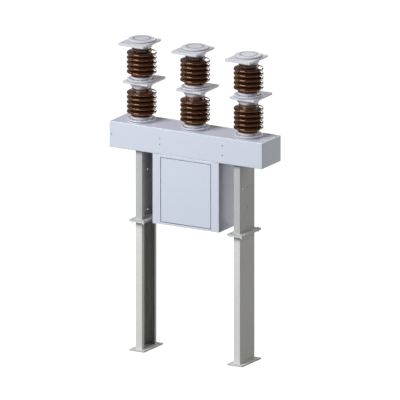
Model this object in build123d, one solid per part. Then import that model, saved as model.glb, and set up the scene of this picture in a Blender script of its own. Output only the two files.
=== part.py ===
from build123d import *
import os

# Three-pole outdoor gas insulated circuit breaker for 40.5 kV: three porcelain
# columns on a folded steel beam, a mechanism cabinet hung under the beam and
# two bolted channel legs. Millimetres, +Z up, front towards -Y, origin on the
# ground under the middle of the breaker.

# ---- driving sizes: pole columns ----
POLE_SPACING = 700.0        # phase to phase
FLANGE_R = 165.0            # round foot flange of each column section
FLANGE_T = 22.0
FLANGE_FOOT_R = 1.5         # lower edge of the flange
FLANGE_EDGE_R = 2.0         # upper edge of the flange
COLLAR_R = 125.0            # raised collar that holds the porcelain
COLLAR_H = 28.0
COLLAR_TAPER = 4.0          # draft of the cast collar
COLLAR_ROOT_R = 2.0         # fillet between the flange and the collar
COLLAR_EDGE_R = 3.0
SOCKET_DEPTH = 12.0         # porcelain cemented into the collar
CEMENT_GAP = 0.5
RIM_R = 122.0               # glazed ring just above the collar
RIM_H = 14.0
RIM_LIFT = 2.0
RIM_LIP_R = 3.0             # lower edge of the ring
RIM_BROW_R = 7.0            # upper edge of the ring
RIM_ROOT_R = 2.0
CORE_R = 112.0              # porcelain body between the sheds
NECK_R = 106.0              # porcelain top and bottom of the head casting
NECK_TAPER = 8.0            # height of the taper from the core to the neck
NECK_EDGE_R = 2.0
SHED_R = 171.0
SHED_COUNT = 5
SHED_PITCH = 55.0
SHED_TIP = 20.0             # height of the rounded shed rim
SHED_RISE = 16.0            # how far the upper face climbs to the core
SHED_UNDERCUT = 5.0         # how far the lower face climbs to the core
SHED_LAND = 4.0             # rim height less the radius of its upper corner
SHED_LIP_R = 5.0            # lower corner of the shed rim
SHED_FILLET = 8.0           # root under a shed
SHED_TOP_FILLET = 14.0      # root on top of a shed
FIRST_SHED = 52.0           # collar top to the middle of the first shed rim
LAST_SHED = 57.0            # middle of the last shed rim to the porcelain top
HEAD_H = 62.0               # cast cone from round neck to square shoulder
HEAD_FLAT = 5.3             # half width of the cone's foot less its corner radius
HEAD_SQUARE = 242.0
HEAD_CORNER_R = 42.0
TERMINAL_T = 26.0
TERMINAL_PAD = 95.0         # terminal beyond the foot flange
TERMINAL_BACK = 10.0        # flange beyond the plate on the other side
TERMINAL_CORNER_R = 6.0
PAD_HOLE_R = 7.0
PAD_HOLE_SPACING = 45.0
PAD_HOLE_MARGIN = 17.5
CAP_R = 157.0               # round cover on top of each column
CAP_T = 22.0
CAP_SLOPE_H = 8.0           # sloping rim of the cover
CAP_SLOPE_W = 16.0
CAP_BOSS_R = 93.0
CAP_GROOVE_W = 6.0
CAP_GROOVE_DEPTH = 2.0

# ---- driving sizes: beam ----
BEAM_END = 300.0            # outer pole axis to the beam end
BEAM_H = 305.0
SHEET = 4.0
BEAM_BEND_R = 8.0
BEAM_RETURN = 30.0          # folded lip of the covers, over the deck plates
DECK_CLEARANCE = 20.0       # foot flange to the folded lip
DECK_T = 12.0
SEAT_PAD_H = 10.0           # round pads of the deck that the columns stand on
SEAT_PAD_IN = 3.0           # flange beyond its pad
BOTTOM_T = 10.0
END_CAP_DEPTH = 30.0
END_CAP_EDGE_R = 5.0

# ---- driving sizes: legs ----
LOWER_LEG_H = 1530.0        # ground to the splice
UPPER_LEG_H = 830.0         # splice to the underside of the beam
LEG_FLANGE = 90.0
LEG_LIP = 45.0
LEG_SHEET = 6.0
LEG_BEND_R = 10.0
LEG_INSET = 50.0            # beam face to leg face
PLATE_OVERHANG = 55.0
BASE_T = 16.0
SPLICE_T = 12.0
PLATE_CORNER_R = 8.0
CAP_PLATE_T = 8.0
ANCHOR_HOLE_R = 9.0
ANCHOR_SIDE = 17.0          # leg face to the anchor hole, across
ANCHOR_BACK = 5.0           # leg corner to the anchor hole, along
WEB_HOLE_R = 9.0
WEB_HOLE_EDGE = 58.0
WEB_HOLE_TOP = 295.0        # beam to the top row of holes
WEB_HOLE_FOOT = 65.0        # splice to the bottom row
WEB_HOLE_ROWS = 3

# ---- driving sizes: mechanism cabinet ----
CABINET_W = 870.0
CABINET_H = 820.0
CABINET_TO_LEG = 162.5
PANEL = 3.0
PANEL_BEND_R = 6.0
PANEL_LIP = 25.0            # rear folds of the side panels
STRIP_W = 103.0             # front fold of the side panels, beside the door
TOP_RAIL_H = 31.0
BOTTOM_RAIL_H = 25.0
DOOR_GAP = 8.0
DOOR_DEPTH = 22.0
DOOR_SHEET = 2.5
DOOR_EDGE_R = 3.0
FRAME_T = 6.0               # rain frame round the door opening
FRAME_STOP = 12.0
FRAME_STOP_T = 3.0
STOP_CLEARANCE = 10.0       # door back to the stop
PIVOT_IN = 12.0             # pivot from the door edge
PIVOT_BACK = 8.0            # pivot behind the door face
PIVOT_R = 3.5
PIVOT_PLAY = 0.05
PIVOT_ROOT = 14.0

# ---- places that follow from them ----
COLLAR_TOP = FLANGE_T + COLLAR_H
SHED_SPAN = SHED_PITCH * (SHED_COUNT - 1)
PORCELAIN_TOP = COLLAR_TOP + FIRST_SHED + SHED_SPAN + LAST_SHED
HEAD_TOP = PORCELAIN_TOP + HEAD_H
SECTION_H = HEAD_TOP + TERMINAL_T
BEAM_L = 2 * (POLE_SPACING + BEAM_END)
BEAM_D = 2 * (FLANGE_R + DECK_CLEARANCE + BEAM_RETURN)
BEAM_Z = LOWER_LEG_H + UPPER_LEG_H
BEAM_TOP = BEAM_Z + BEAM_H
DECK_Z = BEAM_TOP - SHEET
SEAT_Z = DECK_Z + SEAT_PAD_H
LEG_D = BEAM_D - 2 * LEG_INSET
LEG_X = CABINET_W / 2 + CABINET_TO_LEG + LEG_FLANGE / 2
PLATE_W = LEG_FLANGE + 2 * PLATE_OVERHANG
PLATE_D = LEG_D + 2 * PLATE_OVERHANG
CABINET_Z = BEAM_Z - CABINET_H
FRONT_Y = -BEAM_D / 2
OPENING_W = CABINET_W - 2 * STRIP_W
OPENING_Z = CABINET_Z + BOTTOM_RAIL_H
OPENING_H = CABINET_H - TOP_RAIL_H - BOTTOM_RAIL_H

os.makedirs("parts", exist_ok=True)


def save(solid, name):
    export_step(solid, f"parts/{name}.step")


def folded_section(corners, sheet, bend):
    """Face of a sheet folded square along outer corners that all turn left."""
    outer = [Vector(*corner) for corner in corners]
    runs = [(b - a).normalized() for a, b in zip(outer, outer[1:])]
    inward = [run.rotate(Axis.Z, 90) * sheet for run in runs]
    inner = [outer[0] + inward[0]]
    inner += [p + a + b for p, a, b in zip(outer[1:-1], inward, inward[1:])]
    inner += [outer[-1] + inward[-1]]
    folds = len(outer) - 2
    radii = [0] + [bend] * folds + [0, 0] + [bend - sheet] * folds + [0]
    return make_face(FilletPolyline(*outer, *reversed(inner), radius=radii, close=True))


def plate(width, depth, thickness, corner_r, x, y, z):
    """Flat plate with rounded corners, its underside at z."""
    face = RectangleRounded(width, depth, corner_r)
    return Pos(x, y, z) * extrude(face, thickness)


# ---- pole columns ----


def turned(points, radii):
    """Solid turned round +Z from a half profile that starts and ends on the axis."""
    outline = FilletPolyline(*points, radius=radii)
    closing = Line(points[-1], points[0])
    return revolve(Plane.XZ * make_face([outline, closing]), Axis.Z)


def foot_flange():
    """Cast aluminium flange with the collar that the porcelain is cemented into."""
    collar_foot_r = COLLAR_R + COLLAR_TAPER
    socket_r = CORE_R + CEMENT_GAP
    points = [
        (0, 0),
        (FLANGE_R, 0),
        (FLANGE_R, FLANGE_T),
        (collar_foot_r, FLANGE_T),
        (COLLAR_R, COLLAR_TOP),
        (socket_r, COLLAR_TOP),
        (socket_r, COLLAR_TOP - SOCKET_DEPTH),
        (0, COLLAR_TOP - SOCKET_DEPTH),
    ]
    return turned(points, [FLANGE_FOOT_R, FLANGE_EDGE_R, COLLAR_ROOT_R, COLLAR_EDGE_R, 0, 0])


def insulator():
    """Glazed hollow-core porcelain: cemented foot, rim ring, sheds and ground top."""
    rim_z = COLLAR_TOP + RIM_LIFT
    first_z = COLLAR_TOP + FIRST_SHED
    points = [
        (0, COLLAR_TOP - SOCKET_DEPTH),
        (CORE_R, COLLAR_TOP - SOCKET_DEPTH),
        (CORE_R, rim_z),
        (RIM_R, rim_z),
        (RIM_R, rim_z + RIM_H),
        (CORE_R, rim_z + RIM_H),
    ]
    radii = [0, 0, RIM_LIP_R, RIM_BROW_R, RIM_ROOT_R]
    brow_r = SHED_TIP - SHED_LAND
    for i in range(SHED_COUNT):
        z = first_z + i * SHED_PITCH
        points += [
            (CORE_R, z - SHED_TIP / 2 + SHED_UNDERCUT),
            (SHED_R, z - SHED_TIP / 2),
            (SHED_R, z + SHED_TIP / 2),
            (CORE_R, z + SHED_TIP / 2 + SHED_RISE),
        ]
        radii += [SHED_FILLET, SHED_LIP_R, brow_r, SHED_TOP_FILLET]
    points += [
        (CORE_R, PORCELAIN_TOP - NECK_TAPER),
        (NECK_R, PORCELAIN_TOP),
        (0, PORCELAIN_TOP),
    ]
    radii += [NECK_EDGE_R, 0]
    return turned(points, radii)


def terminal_head(side):
    """Cast head: round neck lofted to a square shoulder under the terminal plate.

    side is -1 where the terminal points to the front and 1 to the rear.
    """
    neck = RectangleRounded(2 * NECK_R, 2 * NECK_R, NECK_R - HEAD_FLAT)
    shoulder = RectangleRounded(HEAD_SQUARE, HEAD_SQUARE, HEAD_CORNER_R)
    cone = loft([Pos(0, 0, PORCELAIN_TOP) * neck, Pos(0, 0, HEAD_TOP) * shoulder])
    reach = FLANGE_R + TERMINAL_PAD
    back = FLANGE_R - TERMINAL_BACK
    pad = plate(
        2 * FLANGE_R,
        reach + back,
        TERMINAL_T,
        TERMINAL_CORNER_R,
        0,
        side * (reach - back) / 2,
        HEAD_TOP,
    )
    hole_y = side * (reach - PAD_HOLE_MARGIN - PAD_HOLE_SPACING / 2)
    pattern = GridLocations(PAD_HOLE_SPACING, PAD_HOLE_SPACING, 2, 2)
    drill = Cylinder(PAD_HOLE_R, 4 * TERMINAL_T)
    holes = [Pos(0, hole_y, HEAD_TOP) * spot * drill for spot in pattern]
    return cone + pad - holes


def top_cover():
    """Round cover with a sloping rim and a shallow groove round its boss."""
    groove_z = CAP_T - CAP_GROOVE_DEPTH
    outline = Polyline(
        (0, 0),
        (CAP_R, 0),
        (CAP_R, CAP_T - CAP_SLOPE_H),
        (CAP_R - CAP_SLOPE_W, CAP_T),
        (CAP_BOSS_R + CAP_GROOVE_W, CAP_T),
        (CAP_BOSS_R + CAP_GROOVE_W, groove_z),
        (CAP_BOSS_R, groove_z),
        (CAP_BOSS_R, CAP_T),
        (0, CAP_T),
        close=True,
    )
    return revolve(Plane.XZ * make_face(outline), Axis.Z)


for pole, column in (("left", -1), ("centre", 0), ("right", 1)):
    axis_x = column * POLE_SPACING
    for level, tier, side in (("lower", 0, 1), ("upper", 1, -1)):
        place = Pos(axis_x, 0, SEAT_Z + tier * SECTION_H)
        save(place * foot_flange(), f"{pole}_{level}_foot_flange")
        save(place * insulator(), f"{pole}_{level}_insulator")
        save(place * terminal_head(side), f"{pole}_{level}_terminal_head")
    place = Pos(axis_x, 0, SEAT_Z + 2 * SECTION_H)
    save(place * top_cover(), f"{pole}_top_cover")


# ---- beam ----


def beam_cover(side):
    """Folded cover of the beam face: side is -1 for the front and 1 for the rear."""
    half = BEAM_D / 2
    corners = [
        (half - BEAM_RETURN, 0),
        (half, 0),
        (half, BEAM_H),
        (half - BEAM_RETURN, BEAM_H),
    ]
    length = BEAM_L - 2 * END_CAP_DEPTH
    section = Plane.YZ * folded_section(corners, SHEET, BEAM_BEND_R)
    cover = Pos(-length / 2, 0, BEAM_Z) * extrude(section, length, dir=(1, 0, 0))
    return cover if side > 0 else mirror(cover, Plane.XZ)


def beam_end_cap(side):
    """Pressed end cap with a skirt that meets the covers edge to edge."""
    shell = RectangleRounded(BEAM_D, BEAM_H, BEAM_BEND_R)
    hollow = offset(shell, -SHEET)
    cap = extrude(shell, END_CAP_DEPTH)
    face_edges = cap.faces().sort_by(Axis.Z)[-1].edges()
    cap = fillet(face_edges, END_CAP_EDGE_R)
    cap -= extrude(hollow, END_CAP_DEPTH - SHEET)
    cap = Plane.YZ * cap
    place = Pos(BEAM_L / 2 - END_CAP_DEPTH, 0, BEAM_Z + BEAM_H / 2)
    cap = place * cap
    return cap if side > 0 else mirror(cap, Plane.YZ)


def deck(thickness, z):
    """Flat plate that lies between the end caps, under or over the folded lips."""
    length = BEAM_L - 2 * SHEET
    width = BEAM_D - 2 * BEAM_BEND_R
    return Pos(0, 0, z + thickness / 2) * Box(length, width, thickness)


def seat_pads():
    """Machined pads welded on the deck, one under each column."""
    pad = Cylinder(FLANGE_R - SEAT_PAD_IN, SEAT_PAD_H)
    row = (-POLE_SPACING, 0, POLE_SPACING)
    return [Pos(x, 0, DECK_Z + SEAT_PAD_H / 2) * pad for x in row]


save(beam_cover(-1), "beam_front_cover")
save(beam_cover(1), "beam_rear_cover")
save(beam_end_cap(-1), "beam_left_end_cap")
save(beam_end_cap(1), "beam_right_end_cap")
save(deck(DECK_T, DECK_Z - DECK_T) + seat_pads(), "beam_top_plate")
save(deck(BOTTOM_T, BEAM_Z + SHEET), "beam_bottom_plate")


# ---- legs ----


def leg_channel(side, z, height):
    """Lipped channel with its web outside and its mouth towards the cabinet."""
    half_x = LEG_FLANGE / 2
    half_y = LEG_D / 2
    corners = [
        (-half_x, half_y - LEG_LIP),
        (-half_x, half_y),
        (half_x, half_y),
        (half_x, -half_y),
        (-half_x, -half_y),
        (-half_x, LEG_LIP - half_y),
    ]
    section = folded_section(corners[::-1], LEG_SHEET, LEG_BEND_R)
    channel = Pos(LEG_X, 0, z) * extrude(section, height)
    return channel if side > 0 else mirror(channel, Plane.YZ)


def web_holes(side):
    """Bolt holes through the web of an upper leg, in rows of three and one by turns."""
    drill = Rot(0, 90, 0) * Cylinder(WEB_HOLE_R, 4 * LEG_SHEET)
    web_x = side * (LEG_X + LEG_FLANGE / 2)
    outer_y = LEG_D / 2 - WEB_HOLE_EDGE
    top_z = BEAM_Z - WEB_HOLE_TOP
    pitch = (UPPER_LEG_H - WEB_HOLE_TOP - WEB_HOLE_FOOT) / (WEB_HOLE_ROWS - 1)
    holes = []
    for row in range(WEB_HOLE_ROWS):
        for y in (0,) if row % 2 else (-outer_y, 0, outer_y):
            holes.append(Pos(web_x, y, top_z - row * pitch) * drill)
    return holes


def base_plate(side):
    """Foot of a leg with its four anchor holes."""
    x = side * LEG_X
    foot = plate(PLATE_W, PLATE_D, BASE_T, PLATE_CORNER_R, x, 0, 0)
    span_x = LEG_FLANGE + 2 * ANCHOR_SIDE
    span_y = LEG_D - 2 * ANCHOR_BACK
    drill = Cylinder(ANCHOR_HOLE_R, 4 * BASE_T)
    return foot - [Pos(x, 0, 0) * spot * drill for spot in GridLocations(span_x, span_y, 2, 2)]


lower_channel_top = LOWER_LEG_H - SPLICE_T
upper_channel_z = LOWER_LEG_H + SPLICE_T
leg_top = BEAM_Z + SHEET
for name, side in (("left", -1), ("right", 1)):
    x = side * LEG_X
    save(base_plate(side), f"{name}_base_plate")
    lower = leg_channel(side, BASE_T, lower_channel_top - BASE_T)
    save(lower, f"{name}_lower_leg")
    for level, z in (("lower", lower_channel_top), ("upper", LOWER_LEG_H)):
        splice = plate(PLATE_W, PLATE_D, SPLICE_T, PLATE_CORNER_R, x, 0, z)
        save(splice, f"{name}_{level}_splice_plate")
    upper = leg_channel(side, upper_channel_z, leg_top - upper_channel_z)
    cap = plate(LEG_FLANGE, LEG_D, CAP_PLATE_T, LEG_BEND_R, x, 0, leg_top - CAP_PLATE_T)
    save(upper + cap - web_holes(side), f"{name}_upper_leg")


# ---- mechanism cabinet ----


def side_panel(side):
    """Side of the cabinet, folded round the front beside the door and at the rear."""
    half = CABINET_W / 2
    rear_y = -FRONT_Y - PANEL
    corners = [
        (half - STRIP_W, FRONT_Y),
        (half, FRONT_Y),
        (half, rear_y),
        (half - PANEL_LIP, rear_y),
    ]
    section = folded_section(corners, PANEL, PANEL_BEND_R)
    panel = Pos(0, 0, CABINET_Z) * extrude(section, CABINET_H)
    return panel if side > 0 else mirror(panel, Plane.YZ)


def pan(lip_height, z, up):
    """Roof or floor of the cabinet, folded at the front into a door rail."""
    corners = [(FRONT_Y, lip_height), (FRONT_Y, 0), (-FRONT_Y - PANEL, 0)]
    section = Plane.YZ * folded_section(corners, PANEL, PANEL_BEND_R)
    sheet = Pos(-OPENING_W / 2, 0, 0) * extrude(section, OPENING_W, dir=(1, 0, 0))
    middle_z = PANEL / 2
    wing_d = BEAM_D - PANEL - 2 * PANEL_BEND_R
    wings = Box(CABINET_W - 2 * PANEL, wing_d, PANEL)
    sheet += Pos(0, -PANEL / 2, middle_z) * wings
    tongue = Box(CABINET_W - 2 * PANEL_LIP, -FRONT_Y - PANEL, PANEL)
    sheet += Pos(0, (-FRONT_Y - PANEL) / 2, middle_z) * tongue
    if not up:
        sheet = mirror(sheet, Plane.XY)
    return Pos(0, 0, z) * sheet


def rain_frame(pivot_x, pivot_y):
    """Frame behind the door opening, with the stop and the two pivot holes."""
    depth = DOOR_DEPTH + STOP_CLEARANCE + FRAME_STOP_T - PANEL
    outer = Rectangle(OPENING_W + 2 * FRAME_T, OPENING_H + 2 * FRAME_T)
    opening = Rectangle(OPENING_W, OPENING_H)
    inner = Rectangle(OPENING_W - 2 * FRAME_STOP, OPENING_H - 2 * FRAME_STOP)
    ring = extrude(outer - opening, depth)
    stop = Pos(0, 0, depth - FRAME_STOP_T) * extrude(outer - inner, FRAME_STOP_T)
    frame = Rot(-90, 0, 0) * (ring + stop)
    middle_z = OPENING_Z + OPENING_H / 2
    frame = Pos(0, FRONT_Y + PANEL, middle_z) * frame
    drill = Cylinder(PIVOT_R + PIVOT_PLAY, OPENING_H + 4 * FRAME_T)
    return frame - Pos(pivot_x, pivot_y, middle_z) * drill


def door(pivot_x, pivot_y):
    """Folded door tray, open at the back, with a pivot pin at the top and bottom."""
    width = OPENING_W - 2 * DOOR_GAP
    height = OPENING_H - 2 * DOOR_GAP
    middle_z = OPENING_Z + OPENING_H / 2
    tray = Box(width, DOOR_DEPTH, height)
    face_edges = tray.faces().sort_by(Axis.Y)[0].edges()
    tray = fillet(face_edges, DOOR_EDGE_R)
    hollow = Box(width - 2 * DOOR_SHEET, DOOR_DEPTH, height - 2 * DOOR_SHEET)
    tray -= Pos(0, DOOR_SHEET, 0) * hollow
    tray = Pos(0, FRONT_Y + DOOR_DEPTH / 2, middle_z) * tray
    pin_length = PIVOT_ROOT + DOOR_GAP + FRAME_T
    pin_middle = height / 2 - PIVOT_ROOT + pin_length / 2
    for end in (-1, 1):
        pin = Cylinder(PIVOT_R, pin_length)
        tray += Pos(pivot_x, pivot_y, middle_z + end * pin_middle) * pin
    return tray


pivot_x = -OPENING_W / 2 + DOOR_GAP + PIVOT_IN
pivot_y = FRONT_Y + PIVOT_BACK
save(side_panel(-1), "cabinet_left_side")
save(side_panel(1), "cabinet_right_side")
save(pan(BOTTOM_RAIL_H, CABINET_Z, True), "cabinet_floor")
save(pan(TOP_RAIL_H, BEAM_Z, False), "cabinet_roof")
rear_panel = Box(CABINET_W, PANEL, CABINET_H)
rear_place = Pos(0, -FRONT_Y - PANEL / 2, CABINET_Z + CABINET_H / 2)
save(rear_place * rear_panel, "cabinet_rear_panel")
save(rain_frame(pivot_x, pivot_y), "cabinet_door_frame")
save(door(pivot_x, pivot_y), "cabinet_door")
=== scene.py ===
import bmesh
import bpy
import math
from mathutils import Matrix, Vector


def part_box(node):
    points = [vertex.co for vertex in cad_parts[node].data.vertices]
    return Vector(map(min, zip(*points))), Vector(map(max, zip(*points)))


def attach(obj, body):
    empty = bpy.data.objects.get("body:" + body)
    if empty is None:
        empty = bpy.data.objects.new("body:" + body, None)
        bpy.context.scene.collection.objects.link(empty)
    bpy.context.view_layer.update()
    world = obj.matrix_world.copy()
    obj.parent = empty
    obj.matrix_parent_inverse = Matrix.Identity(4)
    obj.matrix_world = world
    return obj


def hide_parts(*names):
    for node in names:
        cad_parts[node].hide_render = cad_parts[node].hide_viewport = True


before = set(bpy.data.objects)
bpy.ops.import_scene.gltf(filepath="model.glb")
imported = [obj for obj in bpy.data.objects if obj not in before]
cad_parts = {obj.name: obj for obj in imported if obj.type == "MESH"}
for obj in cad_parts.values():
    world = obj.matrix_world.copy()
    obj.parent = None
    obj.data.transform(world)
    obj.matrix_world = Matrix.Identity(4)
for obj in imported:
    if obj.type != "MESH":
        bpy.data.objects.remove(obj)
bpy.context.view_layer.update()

# ---- Leg steelwork ----
# Two lipped channels folded from 6 mm sheet, each in a lower and an upper length
# welded between flat plates and hot-dip galvanised. The bath leaves soft edges,
# a faint spangle and a matt grey skin that rain has clouded.

PLATE_EDGE = 0.0015
CHANNEL_EDGE = 0.001
# The side colours are painted shade: faces turned to the left or right take them in place of the
# plain grey.
BASE_PLATE_GREY = (0.57, 0.575, 0.57)
BASE_PLATE_SHADED_SIDES = (0.40, 0.40, 0.38)
LOWER_LEG_GREY = (0.725, 0.73, 0.72)
LOWER_LEG_SHADED_SIDES = (0.535, 0.53, 0.485)
UPPER_LEG_GREY = (0.49, 0.505, 0.50)
UPPER_LEG_SHADED_SIDES = (0.44, 0.44, 0.42)
# Painted shade: the insides of the channels keep only these shares of their colour.
LOWER_LEG_INSIDE_SHADE = 0.55
UPPER_LEG_INSIDE_SHADE = 0.9
CHANNEL_LIP = 0.045
INSIDE_SHADE_FADE = 0.03
FLANGE_INSIDE = -0.1
BARE_ZINC = (0.72, 0.73, 0.74)
SPANGLE_SCALE = 90.0
SPANGLE_DEPTH = 0.07
ROAD_DUST = (0.36, 0.33, 0.29)
DUST_DULLING = 0.4
DUST_SLOPE = 0.5
EDGE_CONTRAST = 5.0
GLOSS_SPREAD = 0.3
GRAIN_STRENGTH = 0.6
SAME_SPOT = 0.000001
FLAT_ANGLE = 0.005
BROKEN_ANGLE = math.radians(40)


def plug(tree, value, socket):
    """Links a socket to another, or sets it to a plain value."""
    if isinstance(value, bpy.types.NodeSocket):
        tree.links.new(value, socket)
    else:
        socket.default_value = value


def place(tree, kind, **values):
    """A node in a tree: small-letter names are settings, capital ones are inputs."""
    made = tree.nodes.new(kind)
    for name, value in values.items():
        if name[0].islower():
            setattr(made, name, value)
    for name, value in values.items():
        if name[0].isupper():
            label = name.replace("_", " ")
            plug(tree, value, next(s for s in made.inputs if s.name == label and s.enabled))
    return made


def calc(tree, operation, *values):
    """The result of a math node with its inputs in order."""
    made = tree.nodes.new("ShaderNodeMath")
    made.operation = operation
    for value, socket in zip(values, made.inputs):
        plug(tree, value, socket)
    return made.outputs[0]


def node_group(name, kind, inputs, outputs):
    """An empty node group with named sockets, and its input and output sockets."""
    tree = bpy.data.node_groups.new(name, kind)
    for label, socket_type, value in inputs:
        made = tree.interface.new_socket(label, in_out="INPUT", socket_type=socket_type)
        if value is not None:
            made.default_value = value
    for label, socket_type in outputs:
        tree.interface.new_socket(label, in_out="OUTPUT", socket_type=socket_type)
    given = tree.nodes.new("NodeGroupInput").outputs
    return tree, given, tree.nodes.new("NodeGroupOutput").inputs


def shader_group(name, outputs, **inputs):
    """A shader group whose inputs and outputs are all numbers."""
    sockets = [(n.replace("_", " "), "NodeSocketFloat", v) for n, v in inputs.items()]
    results = [(n, "NodeSocketFloat") for n in outputs]
    return node_group(name, "ShaderNodeTree", sockets, results)


def cloud(tree, scale, detail=3.0):
    """Noise over the object's own coordinates."""
    spot = place(tree, "ShaderNodeTexCoord").outputs["Object"]
    noise = place(tree, "ShaderNodeTexNoise", Vector=spot, Scale=scale, Detail=detail)
    return noise.outputs["Fac"]


# Edge wear: how far the surface turns within the radius, broken up by noise.
edge_wear, given, result = shader_group("edge_wear", ["Mask"], Radius=0.003, Patch_Scale=40.0)
turned_normal = place(edge_wear, "ShaderNodeBevel", samples=4, Radius=given["Radius"])
flat_normal = place(edge_wear, "ShaderNodeNewGeometry")
closeness = place(edge_wear, "ShaderNodeVectorMath", operation="DOT_PRODUCT")
plug(edge_wear, turned_normal.outputs["Normal"], closeness.inputs[0])
plug(edge_wear, flat_normal.outputs["Normal"], closeness.inputs[1])
turning_away = calc(edge_wear, "SUBTRACT", 1.0, closeness.outputs["Value"])
edge_amount = calc(edge_wear, "MULTIPLY", turning_away, EDGE_CONTRAST)
patch = calc(edge_wear, "MULTIPLY", cloud(edge_wear, given["Patch Scale"]), edge_amount)
patch = calc(edge_wear, "MINIMUM", patch, 1.0)
plug(edge_wear, calc(edge_wear, "MAXIMUM", patch, 0.0), result["Mask"])

# Dust: a thin veil on what faces the sky, in drifts.
dust, given, result = shader_group("dust", ["Mask"], Amount=0.2, Drift_Scale=6.0)
facing = place(dust, "ShaderNodeNewGeometry").outputs["Normal"]
upward = place(dust, "ShaderNodeSeparateXYZ", Vector=facing).outputs["Z"]
settled = place(dust, "ShaderNodeMapRange", Value=upward, From_Min=DUST_SLOPE, From_Max=1.0)
drift = calc(dust, "MULTIPLY", settled.outputs["Result"], cloud(dust, given["Drift Scale"], 5.0))
plug(dust, calc(dust, "MULTIPLY", drift, given["Amount"]), result["Mask"])

# Mottle: a factor round 1 that clouds a colour, and the same cloud as a plain mask.
mottle, given, result = shader_group("mottle", ["Factor", "Cloud"], Scale=4.0, Depth=0.04)
wide = cloud(mottle, given["Scale"], 4.0)
spread = calc(mottle, "MULTIPLY", calc(mottle, "SUBTRACT", wide, 0.5), 2.0)
plug(mottle, calc(mottle, "MULTIPLY_ADD", spread, given["Depth"], 1.0), result["Factor"])
plug(mottle, wide, result["Cloud"])

# Grain: the height of a fine skin, such as orange peel or the skin of a casting.
grain, given, result = shader_group("grain", ["Height"], Scale=400.0, Detail=2.0)
plug(grain, cloud(grain, given["Scale"], given["Detail"]), result["Height"])


def tinted(tree, share, colour):
    """Mixes a share of a colour into what colours the material so far."""
    base = tree.nodes["Principled BSDF"].inputs["Base Color"]
    mixed = place(tree, "ShaderNodeMix", data_type="RGBA", Factor=share,
                  A=base.links[0].from_socket, B=(*colour, 1.0))
    plug(tree, mixed.outputs[2], base)


def finish(name, colour, worn_colour, roughness, metallic=0.0, wear=0.5, wear_radius=0.003,
           veil=0.15, cloud_scale=3.0, cloud_depth=0.03, grain_scale=500.0, grain_depth=0.00005):
    """A material of colour, mottle, worn edges, dust and a fine grain."""
    material = bpy.data.materials.new(name)
    material.use_nodes = True
    tree = material.node_tree
    bsdf = tree.nodes["Principled BSDF"]
    bsdf.inputs["Metallic"].default_value = metallic
    clouded = place(tree, "ShaderNodeGroup", node_tree=mottle, Scale=cloud_scale,
                    Depth=cloud_depth)
    shade = place(tree, "ShaderNodeVectorMath", operation="SCALE", Vector=colour)
    plug(tree, clouded.outputs["Factor"], shade.inputs["Scale"])
    plug(tree, shade.outputs["Vector"], bsdf.inputs["Base Color"])
    worn = place(tree, "ShaderNodeGroup", node_tree=edge_wear, Radius=wear_radius)
    tinted(tree, calc(tree, "MULTIPLY", worn.outputs["Mask"], wear), worn_colour)
    dusty = place(tree, "ShaderNodeGroup", node_tree=dust, Amount=veil)
    tinted(tree, dusty.outputs["Mask"], ROAD_DUST)
    uneven = calc(tree, "MULTIPLY_ADD", clouded.outputs["Cloud"], GLOSS_SPREAD * roughness,
                  (1 - GLOSS_SPREAD / 2) * roughness)
    dulled = calc(tree, "MULTIPLY_ADD", dusty.outputs["Mask"], DUST_DULLING, uneven)
    plug(tree, dulled, bsdf.inputs["Roughness"])
    skin = place(tree, "ShaderNodeGroup", node_tree=grain, Scale=grain_scale)
    bump = place(tree, "ShaderNodeBump", Strength=GRAIN_STRENGTH, Distance=grain_depth,
                 Height=skin.outputs["Height"])
    plug(tree, bump.outputs["Normal"], bsdf.inputs["Normal"])
    return material


def galvanise(name, colour, shaded_side_colour, inside=1.0):
    """Matt zinc with a faint spangle, painted greyer on the sides as shade.

    The inside of a channel is painted darker as shade and keeps only the inside share of its
    colour.
    """
    material = finish(name, colour, BARE_ZINC, roughness=0.5, wear=0.35, cloud_scale=2.2,
                      cloud_depth=0.06)
    tree = material.node_tree
    spot = place(tree, "ShaderNodeTexCoord").outputs["Object"]
    cells = place(tree, "ShaderNodeTexVoronoi", Vector=spot, Scale=SPANGLE_SCALE)
    tone = place(tree, "ShaderNodeSeparateColor", Color=cells.outputs["Color"]).outputs["Red"]
    spangle = calc(tree, "MULTIPLY_ADD", tone, SPANGLE_DEPTH, 1 - SPANGLE_DEPTH / 2)
    facing = place(tree, "ShaderNodeNewGeometry").outputs["Normal"]
    facing = place(tree, "ShaderNodeSeparateXYZ", Vector=facing).outputs
    # Painted shade: faces turned to the left or right take the side colour.
    tinted(tree, calc(tree, "ABSOLUTE", facing["X"]), shaded_side_colour)
    # Painted shade: the inside of a channel, back from its lips, is darkened to its inside share.
    across = place(tree, "ShaderNodeSeparateXYZ", Vector=spot).outputs
    lips_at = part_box("left_lower_leg")[1].y - CHANNEL_LIP
    between = place(tree, "ShaderNodeMapRange", interpolation_type="SMOOTHSTEP",
                    Value=calc(tree, "ABSOLUTE", across["Y"]),
                    From_Min=lips_at, From_Max=lips_at - INSIDE_SHADE_FADE).outputs["Result"]
    web_in = calc(tree, "LESS_THAN", calc(tree, "MULTIPLY", facing["X"], across["X"]), 0.0)
    side_in = calc(tree, "MULTIPLY", facing["Y"], across["Y"])
    side_in = calc(tree, "LESS_THAN", side_in, FLANGE_INSIDE)
    painted_inside_shade = calc(tree, "MAXIMUM", calc(tree, "MULTIPLY", web_in, between), side_in)
    kept = calc(tree, "MULTIPLY_ADD", painted_inside_shade, inside - 1.0, 1.0)
    base = tree.nodes["Principled BSDF"].inputs["Base Color"]
    spangled = place(tree, "ShaderNodeVectorMath", operation="SCALE",
                     Vector=base.links[0].from_socket)
    plug(tree, calc(tree, "MULTIPLY", spangle, kept), spangled.inputs["Scale"])
    plug(tree, spangled.outputs["Vector"], base)
    return material


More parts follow.
